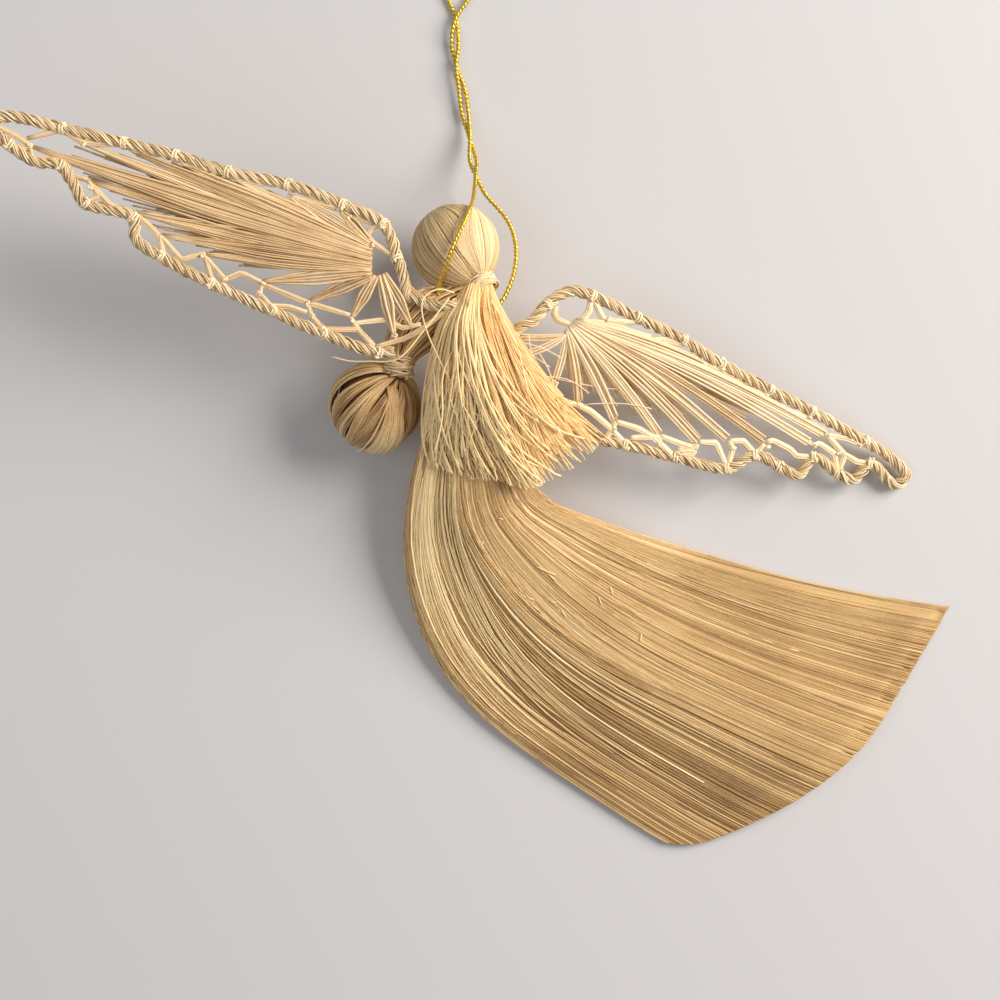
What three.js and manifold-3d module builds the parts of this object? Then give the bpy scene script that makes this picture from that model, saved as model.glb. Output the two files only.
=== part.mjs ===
// A flying angel of pale plant fibre, lying on its front with its back up, in millimetres, +Z up.
// The table is the plane z = 0, +X runs along the wingspan, +Y is the way the hanging loop is laid.
import * as THREE from 'three';
import { mergeVertices } from 'three/addons/utils/BufferGeometryUtils.js';
import Module from 'manifold-3d';

const wasm = await Module();
wasm.setup();

// Driving dimensions.
const PLAN_MIDDLE = new THREE.Vector2(-1.46, 1.19); // middle of the ornament's plan, moved to the origin
const GAP = 0.3; // clearance between pieces that touch
const HEAD_CENTRE = new THREE.Vector3(-6.6, 37.5, 9.5);
const HEAD_RADIUS = 6.5;
const NECK = new THREE.Vector3(-3.0, 32.0, 11.0); // middle of the neck tie
const NECK_RADIUS = 2.3;
const TIE_THICKNESS = 1.3;
const TIE_TURNS = 1.7; // turns laid side by side
const SLEEVE_CENTRE = new THREE.Vector3(-18.8, 14.2, 6.8);
const SLEEVE_RADIUS = 6.8;
const CUFF = new THREE.Vector3(-14.2, 16.6, 9.0); // where the left sleeve is drawn together
const ROPE_RADIUS = 0.8; // wing border
const KNOT_RADIUS = 1.3;
const BAND_RADIUS = 0.55; // a bundle of lace fibres
const LINK_RADIUS = 0.3;
const HUB_RADIUS = 1.1; // where the bands of a wing's lace are drawn together
const CORD_RADIUS = 0.4;
const LEFT_WING_RISE = 0.18; // height gained for each millimetre out from the shoulder
const RIGHT_WING_FALL = 0.19;
const SHOULDER_HEIGHT = 13;

// Each piece's colour and finish.
const STRAW = { color: 0xd2aa74, roughness: 0.5, metalness: 0 };
const PALE_STRAW = { color: 0xe6cb9c, roughness: 0.55, metalness: 0 };
const SHADED_STRAW = { color: 0xb98f58, roughness: 0.6, metalness: 0 };
const GOLD = { color: 0xd8b32c, roughness: 0.35, metalness: 0.8 };

const ornament = new THREE.Group();
const onPlan = new THREE.Group();
onPlan.position.set(-PLAN_MIDDLE.x, -PLAN_MIDDLE.y, 0);
ornament.add(onPlan);

const upright = new THREE.Vector3(0, 1, 0);
const mix = THREE.MathUtils.lerp;
const ease = THREE.MathUtils.smoothstep;

// A closed three.js geometry as a solid that can be joined and cut.
function solidOf(geometry) {
  const bare = geometry.clone();
  bare.deleteAttribute('normal');
  bare.deleteAttribute('uv');
  const merged = mergeVertices(bare, 1e-4);
  const mesh = new wasm.Mesh({
    numProp: 3,
    vertProperties: new Float32Array(merged.attributes.position.array),
    triVerts: new Uint32Array(merged.index.array),
  });
  return new wasm.Manifold(mesh);
}

// The main body of a solid that a cut has left with crumbs.
const mainBody = (solid) => solid.decompose().sort((a, b) => b.volume() - a.volume())[0];

// Slivers thinner than this, which a join or a cut leaves, are closed up.
const SLIVER = 0.02;

function geometryOf(solid) {
  const { vertProperties, triVerts } = mainBody(solid.simplify(SLIVER)).getMesh();
  const geometry = new THREE.BufferGeometry();
  geometry.setAttribute('position', new THREE.Float32BufferAttribute(vertProperties, 3));
  geometry.setIndex(new THREE.Uint32BufferAttribute(triVerts, 1));
  return geometry;
}

const fused = (geometries) => geometries.map(solidOf).reduce((sum, next) => sum.add(next));

function piece(name, solid, finish) {
  const mesh = new THREE.Mesh(geometryOf(solid), new THREE.MeshStandardMaterial(finish));
  mesh.name = name;
  onPlan.add(mesh);
}

// A round section of `sides` swept through the points, bent smoothly.
function tube(points, radius, { sides, steps }) {
  const section = new THREE.Shape();
  for (let i = 0; i < sides; i += 1) {
    const turn = (2 * Math.PI * i) / sides;
    const corner = [radius * Math.cos(turn), radius * Math.sin(turn)];
    if (i === 0) section.moveTo(...corner);
    else section.lineTo(...corner);
  }
  section.closePath();
  const path = new THREE.CatmullRomCurve3(points, false, 'centripetal');
  return new THREE.ExtrudeGeometry(section, { steps, bevelEnabled: false, extrudePath: path });
}

// A straight rod between two points, with a radius at each and its section turned about it.
function rod(from, to, fromRadius, toRadius, sides, turn) {
  const way = new THREE.Vector3().subVectors(to, from);
  return new THREE.CylinderGeometry(toRadius, fromRadius, way.length(), sides)
    .rotateY(turn)
    .applyQuaternion(new THREE.Quaternion().setFromUnitVectors(upright, way.clone().normalize()))
    .translate((from.x + to.x) / 2, (from.y + to.y) / 2, (from.z + to.z) / 2);
}

function knotAt(centre, radius) {
  return new THREE.OctahedronGeometry(radius).translate(centre.x, centre.y, centre.z);
}

// Four plan curves, each read from 0 to 1, and the patch of fibre directions between them:
// across runs from the left edge to the right one, along from the neck to the cut ends.
function fanOf({ left, right, top, ends }) {
  const curve = (points) =>
    new THREE.CatmullRomCurve3(points.map(([x, y]) => new THREE.Vector3(x, y, 0)), false, 'centripetal');
  const [l, r, t, e] = [left, right, top, ends].map(curve);
  return (across, along) => {
    const [pl, pr] = [l.getPointAt(along), r.getPointAt(along)];
    const [pt, pe] = [t.getPointAt(across), e.getPointAt(across)];
    const sides = pl.multiplyScalar(1 - across).add(pr.multiplyScalar(across));
    const caps = pt.multiplyScalar(1 - along).add(pe.multiplyScalar(along));
    const corners = l.getPointAt(0).multiplyScalar((1 - across) * (1 - along))
      .add(r.getPointAt(0).multiplyScalar(across * (1 - along)))
      .add(l.getPointAt(1).multiplyScalar((1 - across) * along))
      .add(r.getPointAt(1).multiplyScalar(across * along));
    return sides.add(caps).sub(corners);
  };
}

// A bundle of fibres: a lens section over the fan, from its neck to its ends.
// `middle` and `half` give the height of its middle surface and half its thickness.
function bundle(fan, middle, half, { around, steps, spare = 0 }) {
  const geometry = new THREE.CylinderGeometry(1, 1, 1, around, steps);
  const points = geometry.attributes.position;
  const p = new THREE.Vector3();
  for (let i = 0; i < points.count; i += 1) {
    p.fromBufferAttribute(points, i);
    const along = 0.5 - p.y;
    const across = 0.5 + 0.5 * p.x;
    const inside = Math.hypot(p.x, p.z) < 0.5;
    const place = fan(THREE.MathUtils.clamp(across, 0, 1), along);
    const thick = inside ? 0 : half(across, along) + spare;
    const side = Math.sign(p.z) * Math.abs(p.z) ** 0.6;
    const height = middle(across, along) + side * thick;
    points.setXYZ(i, place.x, place.y, Math.max(height, 0));
  }
  return geometry;
}

// Head: fibres drawn over a ball and gathered into the neck; its axis leans to the neck.
const neckWay = new THREE.Vector3().subVectors(NECK, HEAD_CENTRE);
const leanToNeck = new THREE.Quaternion().setFromUnitVectors(upright, neckWay.clone().normalize());
const HEAD_STEPS = 9;
const NECK_ANGLE = Math.acos((NECK_RADIUS - GAP) / HEAD_RADIUS);
const headProfile = [new THREE.Vector2(0, -HEAD_RADIUS)];
for (let i = 1; i <= HEAD_STEPS; i += 1) {
  const turn = mix(-Math.PI / 2, NECK_ANGLE, i / HEAD_STEPS);
  headProfile.push(new THREE.Vector2(HEAD_RADIUS * Math.cos(turn), HEAD_RADIUS * Math.sin(turn)));
}
const neckEnd = neckWay.length() + 0.2;
headProfile.push(new THREE.Vector2(NECK_RADIUS - GAP, neckEnd), new THREE.Vector2(0, neckEnd));
const headGeometry = new THREE.LatheGeometry(headProfile, 18)
  .applyQuaternion(leanToNeck)
  .translate(HEAD_CENTRE.x, HEAD_CENTRE.y, HEAD_CENTRE.z);

// Neck tie: twisted fibre wound round the gathered neck.
const neckTie = (spare) => solidOf(
  new THREE.TorusGeometry(NECK_RADIUS + 0.75, TIE_THICKNESS / 2 + spare, 6, 16)
    .rotateX(Math.PI / 2)
    .scale(1, TIE_TURNS, 1)
    .applyQuaternion(leanToNeck)
    .translate(NECK.x, NECK.y, NECK.z),
);
piece('neck_tie', neckTie(0), PALE_STRAW);
const tieRoom = neckTie(GAP);
piece('head', solidOf(headGeometry).subtract(tieRoom), STRAW);
const neckRoom = tieRoom.add(solidOf(
  new THREE.CylinderGeometry(NECK_RADIUS + 0.75, NECK_RADIUS + 0.75, 2 * TIE_THICKNESS, 14)
    .applyQuaternion(leanToNeck)
    .translate(NECK.x, NECK.y, NECK.z),
));

// Skirt: one bundle of fibres from the neck, spread and glued into a thin fan with a curved hem.
const skirtFan = fanOf({
  left: [[-5.4, 30.4], [-8.2, 22], [-10.8, 12], [-13.6, 2], [-14.6, -7.5], [-12.8, -18], [-9, -26],
    [-3, -33], [6, -40], [15.5, -46.4], [22, -50.6], [25.5, -52.6]],
  right: [[-1, 30.4], [0.8, 24], [2, 16], [3, 8], [6, 1], [15, -3], [30.3, -7.9], [45.8, -12.2],
    [58.1, -14.7], [69, -16.4]],
  top: [[-5.4, 30.4], [-1, 30.4]],
  ends: [[25.5, -52.6], [30, -52.7], [37, -50.2], [46, -45.2], [55.2, -37.6], [61.3, -29.1], [69, -16.4]],
});
const SKIRT_FOLDS = 7;
const skirtMiddle = (across, along) => {
  const arch = mix(1.2, 2.6, along) * Math.sin(Math.PI * across) ** 4;
  const lift = mix(10.5, 0.45, ease(along, 0, 0.62));
  return lift + arch;
};
const skirtHalf = (across, along) => {
  const fold = 0.1 * Math.cos(2 * Math.PI * SKIRT_FOLDS * across) * ease(along, 0.1, 0.4);
  const body = mix(3.9, 0.6, ease(along, 0.12, 0.85));
  return body * (1 + fold) * mix(0.55, 1, ease(along, 0, 0.25));
};
const skirt = solidOf(bundle(skirtFan, skirtMiddle, skirtHalf, { around: 40, steps: 14 })).subtract(neckRoom);
const skirtRoom = solidOf(bundle(skirtFan, skirtMiddle, skirtHalf, { around: 40, steps: 14, spare: GAP }));
piece('skirt', mainBody(skirt), STRAW);

// Cape: the loose ends of the fibres that cover the head, tied at the neck and cut shaggy.
const LOCKS = 10;
const capeFan = fanOf({
  left: [[-6.2, 30.2], [-8.9, 26], [-10.9, 17.5], [-11.4, 9], [-10.4, 5]],
  right: [[-0.2, 30.6], [2, 27.6], [5.4, 21.5], [10.2, 14.6], [15.6, 9.4]],
  top: [[-6.2, 30.2], [-0.2, 30.6]],
  ends: [[-10.4, 5], [-5, 3.4], [0, 2.9], [4, 1.9], [8.8, 3.6], [13, 6.4], [15.6, 9.4]],
});
const capeCut = (across, along) => {
  const locks = 0.5 + 0.5 * Math.cos(2 * Math.PI * LOCKS * across);
  return capeFan(across, along * (1 - 0.09 * locks));
};
const capeMiddle = (across, along) => mix(13.4, 10.4, ease(along, 0.45, 1)) - 1.5 * (2 * across - 1) ** 2;
const capeHalf = (across, along) => {
  const lock = 1 + 0.16 * Math.cos(2 * Math.PI * LOCKS * across) * ease(along, 0.1, 0.3);
  return lock * mix(0.35, 1, ease(along, 0, 0.25)) * mix(3.6, 2.2, ease(along, 0.5, 1));
};
const uncutCape = solidOf(bundle(capeCut, capeMiddle, capeHalf, { around: 48, steps: 7 }));
piece('cape', mainBody(uncutCape.subtract(skirtRoom).subtract(neckRoom)), PALE_STRAW);

// Sleeves: bundles of fibre puffed out and drawn together at the cuff. The left one shows beside
// the body, and the right one lies under it. Each has a flat spot where it rests on the table.
function puff(centre, radius, cuff, pleats) {
  const around = 2 * pleats;
  const geometry = new THREE.SphereGeometry(1, around, 9);
  const points = geometry.attributes.position;
  const p = new THREE.Vector3();
  const toCuff = new THREE.Vector3().subVectors(cuff, centre);
  const lean = new THREE.Quaternion().setFromUnitVectors(upright, toCuff.clone().normalize());
  for (let i = 0; i < points.count; i += 1) {
    p.fromBufferAttribute(points, i);
    const turn = Math.atan2(p.z, p.x);
    const pleat = 1 + 0.05 * Math.cos(pleats * turn) * Math.hypot(p.x, p.z);
    const pinch = ease(p.y, 0.45, 1);
    p.multiply(new THREE.Vector3(pleat * (1 - 0.35 * pinch), 1 - 0.12 * pinch, pleat * (1 - 0.35 * pinch)));
    p.multiplyScalar(radius).applyQuaternion(lean).add(centre);
    points.setXYZ(i, p.x, p.y, Math.max(p.z, 0));
  }
  return geometry;
}
const capeRoom = solidOf(bundle(capeCut, capeMiddle, capeHalf, { around: 48, steps: 7, spare: GAP }));
const clearOfBody = (solid) => mainBody(solid.subtract(skirtRoom).subtract(capeRoom));
piece('left_sleeve', clearOfBody(solidOf(puff(SLEEVE_CENTRE, SLEEVE_RADIUS, CUFF, 11))), STRAW);
const RIGHT_SLEEVE = new THREE.Vector3(3.5, 15.5, 3.6);
const RIGHT_CUFF = new THREE.Vector3(-1, 22, 4);
piece('right_sleeve', clearOfBody(solidOf(puff(RIGHT_SLEEVE, 5.4, RIGHT_CUFF, 6))), SHADED_STRAW);

// Left arm: a bundle of fibre from the shoulder down to the cuff, and the twisted wrap that closes it.
const ARM = [[-8.8, 27.6, 8.5], [-11.6, 25.6, 9.6], [-14.4, 22, 9.8], [-14.9, 18.6, 9.6]];
const alongArm = ARM.map((point) => new THREE.Vector3(...point));
const sleeveRoom = solidOf(puff(SLEEVE_CENTRE, SLEEVE_RADIUS + GAP, CUFF, 11));
const wrapAt = (spare) => solidOf(new THREE.TorusGeometry(2.3, 0.6 + spare, 5, 12)
  .rotateX(Math.PI / 2 + 0.1).rotateZ(0.3).translate(-14.8, 20.3, 9.8));
const arm = solidOf(tube(alongArm, 1.6, { sides: 8, steps: 5 }));
piece('left_arm', clearOfBody(arm.subtract(sleeveRoom).subtract(wrapAt(GAP))), STRAW);
piece('left_sleeve_tie', clearOfBody(wrapAt(0).subtract(sleeveRoom)), PALE_STRAW);

// Wings. Each is a border of twisted rope, knotted along its way, with a fan of lace fibres in it.
const leftHeight = (x, y) => SHOULDER_HEIGHT + LEFT_WING_RISE * Math.hypot(x + 12, y - 30);
const rightHeight = (x, y) => Math.max(SHOULDER_HEIGHT - RIGHT_WING_FALL * Math.hypot(x - 3, y - 26), KNOT_RADIUS);
const inWing = (height) => ([x, y]) => new THREE.Vector3(x, y, height(x, y));

// From the shoulder out along the leading edge, round the tip and back to the arm.
const LEFT_BORDER = [[-12, 29.6], [-13.6, 30.2], [-14.1, 32.4], [-15.1, 35.4], [-17, 40.3], [-22.9, 43],
  [-30.7, 45.7], [-39.2, 47.3], [-46.5, 49.4], [-53.7, 51], [-62.1, 52.8], [-70.6, 54.2], [-72, 52.8],
  [-69.6, 50.4], [-66.1, 48.1], [-62.6, 47.7], [-60.9, 45.4], [-59.3, 42.4], [-56.4, 41.6],
  [-52.6, 40.6], [-52.2, 37.4], [-49, 35.1], [-41.9, 31.4], [-33.2, 27.5], [-25.9, 24.3],
  [-17.8, 21.6], [-15.6, 21.8]];
const LEFT_KNOTS = [3, 4, 5, 6, 7, 8, 9, 10, 11, 13, 15, 17, 19, 21, 22, 23, 24, 25];
// From under the cape, over the top and out to the tip, and back along the scalloped lower edge.
const RIGHT_BORDER = [[3.2, 25.6], [4.8, 26.4], [6.9, 28.8], [8.6, 30.2], [11.1, 31], [13.6, 30.3],
  [20.3, 27.2], [27.3, 24], [33.1, 20.5], [40.6, 16.7], [47.1, 13.5], [55.5, 9], [59.6, 6.6],
  [62.2, 3.6], [60.4, 2.4], [56.6, 5.6], [53.9, 3.1], [51.4, 4.1], [47.7, 6.5], [45.2, 3.8],
  [42.4, 5], [38.6, 6.8], [34.3, 4.8], [26.5, 6.4], [18.9, 8.2], [13.2, 9.3]];
const RIGHT_KNOTS = [2, 5, 6, 7, 8, 9, 10, 11, 13, 15, 17, 18, 20, 21, 22, 23, 24];
const borderOf = (points, knots, height, spare) => fused([
  tube(points.map(inWing(height)), ROPE_RADIUS + spare, { sides: 5, steps: 48 }),
  ...knots.map((k) => knotAt(inWing(height)(points[k]), KNOT_RADIUS + spare)),
]);

// The lace starts at a hub by the shoulder. Bands of fibre run from it to their tips, one fibre
// ties the tips together, and short links hold each tip to the nearest knot of the border.
const LEFT_HUB = [[-19.6, 38.6], [-18.7, 36.8], [-18.4, 35], [-18.8, 33.2]];
const LEFT_TIPS = [[-24, 41], [-30.5, 43.4], [-38.5, 45], [-46, 47], [-54, 48.8], [-62, 50.4],
  [-64, 49.4], [-59.4, 45.6], [-55.4, 43.4], [-50.4, 39], [-43, 34.8], [-34.7, 31.5], [-27.9, 28.7],
  [-21.1, 26.5], [-16.4, 24.6]];
const RIGHT_HUB = [[9.6, 25.8], [10.9, 25.2]];
const RIGHT_TIPS = [[8.6, 17.6], [11.6, 14.5], [16.8, 11.8], [23.8, 9.9], [29.9, 9.2], [34.8, 8.9],
  [40, 8.5], [47.5, 8.2], [49.8, 10], [42.8, 13.9], [36.5, 17.1], [29.8, 20.3], [22.3, 23.8], [15.8, 26.5]];
function laceOf(hub, tips, border, knots, height) {
  const at = inWing(height);
  const reach = ([x, y], [a, b]) => Math.hypot(x - a, y - b);
  const parts = [tube(hub.map(at), HUB_RADIUS, { sides: 5, steps: 2 })];
  for (const [i, tip] of tips.entries()) {
    const start = hub.reduce((best, point) => (reach(point, tip) < reach(best, tip) ? point : best));
    const knot = knots.map((k) => border[k]).reduce((best, p) => (reach(p, tip) < reach(best, tip) ? p : best));
    parts.push(rod(at(start), at(tip), LINK_RADIUS, BAND_RADIUS, 4, 0.3 + 0.37 * i));
    const stop = at(knot).add(at(tip).sub(at(knot)).setLength(KNOT_RADIUS + GAP));
    if (reach(knot, tip) > KNOT_RADIUS + 2 * GAP) {
      parts.push(rod(at(tip), stop, LINK_RADIUS, LINK_RADIUS, 3, 0.2 + 0.53 * i));
    }
  }
  parts.push(tube(tips.map(at), LINK_RADIUS, { sides: 3, steps: tips.length - 1 }));
  return fused(parts);
}
const wings = [
  ['left', LEFT_BORDER, LEFT_KNOTS, LEFT_HUB, LEFT_TIPS, leftHeight],
  ['right', RIGHT_BORDER, RIGHT_KNOTS, RIGHT_HUB, RIGHT_TIPS, rightHeight],
];
for (const [side, border, knots, hub, tips, height] of wings) {
  const lace = laceOf(hub, tips, border, knots, height).subtract(borderOf(border, knots, height, GAP));
  piece(`${side}_wing_border`, clearOfBody(borderOf(border, knots, height, 0)), PALE_STRAW);
  piece(`${side}_wing_lace`, clearOfBody(lace), PALE_STRAW);
}

// Hanging loop: one gold thread, out of the left shoulder, over the head and down to the table,
// twisted with its own return half, round in a loop, and back to the right shoulder.
const CORD_ROUTE = [
  [-8.9, 29.6, 11.6], [-9, 30.8, 12.6], [-8.7, 32.3, 14], [-8, 33.8, 15.7], [-7, 36.3, 16.9],
  [-6.1, 38.4, 17], [-5.2, 40.6, 16.2], [-4.6, 42.4, 14.5], [-4.1, 44, 12], [-3.8, 46.4, 8.8],
  [-3.7, 49.1, 6.2], [-3.6, 51.4, 4], [-4.6, 55.2, 1.5], [-5.9, 59.6, 0.9], [-6.3, 63, 1.1],
  [-6.7, 66.6, 1.35], [-6.4, 70.1, 0.9], [-6.8, 73.9, 0.45], [-7.9, 76.7, 0.45],
  [-9.8, 82, 0.45], [-10, 88, 0.45], [-7.6, 92.4, 0.45], [-4, 92.8, 0.45], [-1.3, 89.6, 0.45],
  [-1.2, 84, 0.45], [-3.2, 79.4, 0.45], [-4.9, 76.7, 0.8],
  [-6.7, 73.9, 1.35], [-7.4, 70.1, 0.9], [-6.7, 66.6, 0.45], [-5.4, 63, 0.6], [-4.9, 59.4, 0.9],
  [-4.6, 55.2, 2.4], [-4.6, 51.6, 3.8], [-3.7, 49.1, 5.2], [-2.2, 46.2, 5.2], [-0.3, 44, 5.6],
  [1, 42.3, 6.2], [2, 39.9, 7.2], [2.4, 36.6, 8.8], [1.9, 33.2, 9.8], [0.9, 30.1, 10],
];
const route = CORD_ROUTE.map((point) => new THREE.Vector3(...point));
const cord = tube(route, CORD_RADIUS, { sides: 8, steps: 64 });
onPlan.add(Object.assign(new THREE.Mesh(cord, new THREE.MeshStandardMaterial(GOLD)), { name: 'hanging_cord' }));

export default ornament;
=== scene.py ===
"""A flying angel of pale plant fibre, lying on its front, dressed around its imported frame."""

import math

import bmesh
import bpy
import numpy as np
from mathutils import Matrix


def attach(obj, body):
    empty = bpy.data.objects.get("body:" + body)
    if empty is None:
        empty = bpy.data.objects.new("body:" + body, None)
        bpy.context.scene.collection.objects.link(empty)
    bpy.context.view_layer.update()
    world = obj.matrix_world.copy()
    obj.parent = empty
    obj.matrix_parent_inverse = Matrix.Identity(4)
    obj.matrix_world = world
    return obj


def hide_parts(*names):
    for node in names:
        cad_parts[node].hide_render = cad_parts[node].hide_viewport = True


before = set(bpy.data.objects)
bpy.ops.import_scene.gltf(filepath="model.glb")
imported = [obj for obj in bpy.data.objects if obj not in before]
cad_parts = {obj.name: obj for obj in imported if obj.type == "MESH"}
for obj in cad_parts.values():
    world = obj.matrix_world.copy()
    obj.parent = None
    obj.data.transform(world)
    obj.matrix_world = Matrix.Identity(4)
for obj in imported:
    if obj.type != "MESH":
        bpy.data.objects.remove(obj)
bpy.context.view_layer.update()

# Table, camera and light.
# The ornament lies on a plain pale table top by a window, up and to the right of it.
MM = 0.001
PLAN_MIDDLE = np.array([-1.46, 1.19, 0.0])  # the design's own zero, as in the frame's source
CAMERA_HEIGHT = 300.0
VIEW_WIDTH = 153.85  # millimetres of table across the picture


def placed(points):
    """Millimetres from the design's zero, as metres in the frame."""
    return (np.asarray(points, float) - PLAN_MIDDLE) * MM


camera_data = bpy.data.cameras.new("camera")
camera_data.angle = 2 * math.atan(VIEW_WIDTH / 2 / CAMERA_HEIGHT)
camera_data.clip_start = 0.01
camera = bpy.data.objects.new("camera", camera_data)
camera.location = placed([0, 0, CAMERA_HEIGHT])
bpy.context.scene.collection.objects.link(camera)
bpy.context.scene.camera = camera


def object_of(name, data):
    made = bpy.data.objects.new(name, data)
    bpy.context.scene.collection.objects.link(made)
    return made


def mesh_of(shape, name):
    """The finished bmesh as a smooth-shaded object."""
    mesh = bpy.data.meshes.new(name)
    shape.to_mesh(mesh)
    shape.free()
    mesh.shade_smooth()
    return object_of(name, mesh)


TABLE_SIZE = 3.0
table_shape = bmesh.new()
bmesh.ops.create_grid(table_shape, x_segments=1, y_segments=1, size=TABLE_SIZE / 2)
table_top = mesh_of(table_shape, "table_top")
table_finish = bpy.data.materials.new("table_top")
table_finish.use_nodes = True
table_shader = table_finish.node_tree.nodes["Principled BSDF"]
table_shader.inputs["Base Color"].default_value = (0.62, 0.60, 0.592, 1)
table_shader.inputs["Roughness"].default_value = 0.75
table_top.data.materials.append(table_finish)


def area_light(name, place, size, power, colour):
    """A soft square light at `place`, in metres, that looks at the ornament."""
    data = bpy.data.lights.new(name, "AREA")
    data.size = size
    data.energy = power
    data.color = colour
    light = object_of(name, data)
    light.location = place
    aim = -light.location
    light.rotation_euler = aim.to_track_quat("-Z", "Y").to_euler()


area_light("window", (0.54, 0.24, 0.38), 0.44, 7.4, (1.0, 0.955, 0.91))
area_light("room", (-0.6, -0.2, 0.9), 0.9, 2.8, (0.95, 0.97, 1.0))
world = bpy.data.worlds.new("room")
world.use_nodes = True
world.node_tree.nodes["Background"].inputs["Color"].default_value = (0.86, 0.88, 0.92, 1)
world.node_tree.nodes["Background"].inputs["Strength"].default_value = 0.27
bpy.context.scene.world = world
bpy.context.scene.view_settings.view_transform = "Standard"


# Hanging cord.
# One gold two-ply thread. It comes out of the left shoulder, crosses the head, twists together with
# its own return half on the table, opens into a loop, and goes back into the right shoulder.
CORD_ROUTE = [
    [-8.9, 29.6, 11.6], [-9, 30.8, 12.6], [-8.7, 32.3, 14], [-8, 33.8, 15.7], [-7, 36.3, 16.9],
    [-6.1, 38.4, 17], [-5.2, 40.6, 16.2], [-4.6, 42.4, 14.5], [-4.1, 44, 12], [-3.8, 46.4, 8.8],
    [-3.7, 49.1, 6.2], [-3.6, 51.4, 4], [-4.6, 55.2, 1.5], [-5.9, 59.6, 0.9], [-6.3, 63, 1.1],
    [-6.7, 66.6, 1.35], [-6.4, 70.1, 0.9], [-6.8, 73.9, 0.45], [-7.9, 76.7, 0.45],
    [-9.8, 82, 0.45], [-10, 88, 0.45], [-7.6, 92.4, 0.45], [-4, 92.8, 0.45], [-1.3, 89.6, 0.45],
    [-1.2, 84, 0.45], [-3.2, 79.4, 0.45], [-4.9, 76.7, 0.8],
    [-6.7, 73.9, 1.35], [-7.4, 70.1, 0.9], [-6.7, 66.6, 0.45], [-5.4, 63, 0.6], [-4.9, 59.4, 0.9],
    [-4.6, 55.2, 2.4], [-4.6, 51.6, 3.8], [-3.7, 49.1, 5.2], [-2.2, 46.2, 5.2], [-0.3, 44, 5.6],
    [1, 42.3, 6.2], [2, 39.9, 7.2], [2.4, 36.6, 8.8], [1.9, 33.2, 9.8], [0.8, 30.4, 10.4], [-0.6, 28.2, 11.2],
]


def smooth_line(points, count):
    """A smooth curve through the points, as `count` points evenly apart."""
    knots = np.asarray(points, float)
    knots = np.vstack([2 * knots[0] - knots[1], knots, 2 * knots[-1] - knots[-2]])
    t = np.linspace(0, 1, 24, endpoint=False)[:, None]
    fine = []
    for a, b, c, d in zip(knots, knots[1:], knots[2:], knots[3:]):
        before, here, after = (max(np.linalg.norm(v) ** 0.5, 1e-6) for v in (b - a, c - b, d - c))
        leave = ((b - a) / before - (c - a) / (before + here) + (c - b) / here) * here
        arrive = ((c - b) / here - (d - b) / (here + after) + (d - c) / after) * here
        bend = 3 * (c - b) - 2 * leave - arrive
        twist = 2 * (b - c) + leave + arrive
        fine.append(b + leave * t + bend * t**2 + twist * t**3)
    fine = np.vstack([*fine, knots[-2]])
    run = np.concatenate([[0], np.cumsum(np.linalg.norm(np.diff(fine, axis=0), axis=1))])
    even = np.linspace(0, run[-1], count)
    return np.stack([np.interp(even, run, axis) for axis in fine.T], axis=1)


def line_length(line):
    return float(np.linalg.norm(np.diff(line, axis=0), axis=1).sum())


def frames_along(line):
    """A side and an up direction at each point of a line, turning as little as they can."""
    ways = np.gradient(line, axis=0)
    ways /= np.linalg.norm(ways, axis=1)[:, None]
    side = np.cross(ways[0], (0.0, 0.0, 1.0))
    sides = []
    for way in ways:
        side = side - way * side.dot(way)
        side /= np.linalg.norm(side)
        sides.append(side)
    sides = np.array(sides)
    return sides, np.cross(sides, ways)


def wound(line, offset, turns, phase):
    """A line that winds round another at `offset` from it."""
    sides, ups = frames_along(line)
    angle = (phase + np.linspace(0, 1, len(line)) * turns)[:, None] * 2 * math.pi
    return line + (sides * np.cos(angle) + ups * np.sin(angle)) * offset


def fibres(name, lines, radii, tones):
    """Round fibres along the lines, all with as many points, as one mesh object.

    Each carries its tone, one for all of it or one a point, and how far along it each point is."""
    lines, tones = np.asarray(lines, float), np.asarray(tones, float)
    many, long = lines.shape[:2]
    curve = bpy.data.curves.new(name, "CURVE")
    curve.dimensions = "3D"
    curve.bevel_depth = 1.0
    curve.bevel_resolution = 0
    for line, radius in zip(lines, np.broadcast_to(radii, many)):
        spline = curve.splines.new("POLY")
        spline.points.add(long - 1)
        spline.points.foreach_set("co", np.hstack([line, np.ones((long, 1))]).ravel())
        spline.points.foreach_set("radius", np.full(long, radius))
    holder = object_of(name + "_lines", curve)
    graph = bpy.context.evaluated_depsgraph_get()
    mesh = bpy.data.meshes.new_from_object(holder.evaluated_get(graph))
    bpy.data.objects.remove(holder)
    bpy.data.curves.remove(curve)
    mesh.name = name
    shape = bmesh.new()
    shape.from_mesh(mesh)
    bmesh.ops.holes_fill(shape, edges=[e for e in shape.edges if e.is_boundary], sides=4)
    shape.to_mesh(mesh)
    shape.free()
    each = len(mesh.vertices) // many
    tone = mesh.attributes.new("tone", "FLOAT", "POINT")
    tones = tones[:, None] if tones.ndim == 1 else tones
    tone.data.foreach_set("value", np.repeat(np.broadcast_to(tones, (many, long)).ravel(), each // long))
    along = mesh.attributes.new("along", "FLOAT", "POINT")
    along.data.foreach_set("value", np.tile(np.repeat(np.linspace(0, 1, long), each // long), many))
    mesh.shade_smooth()
    return object_of(name, mesh)


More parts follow.
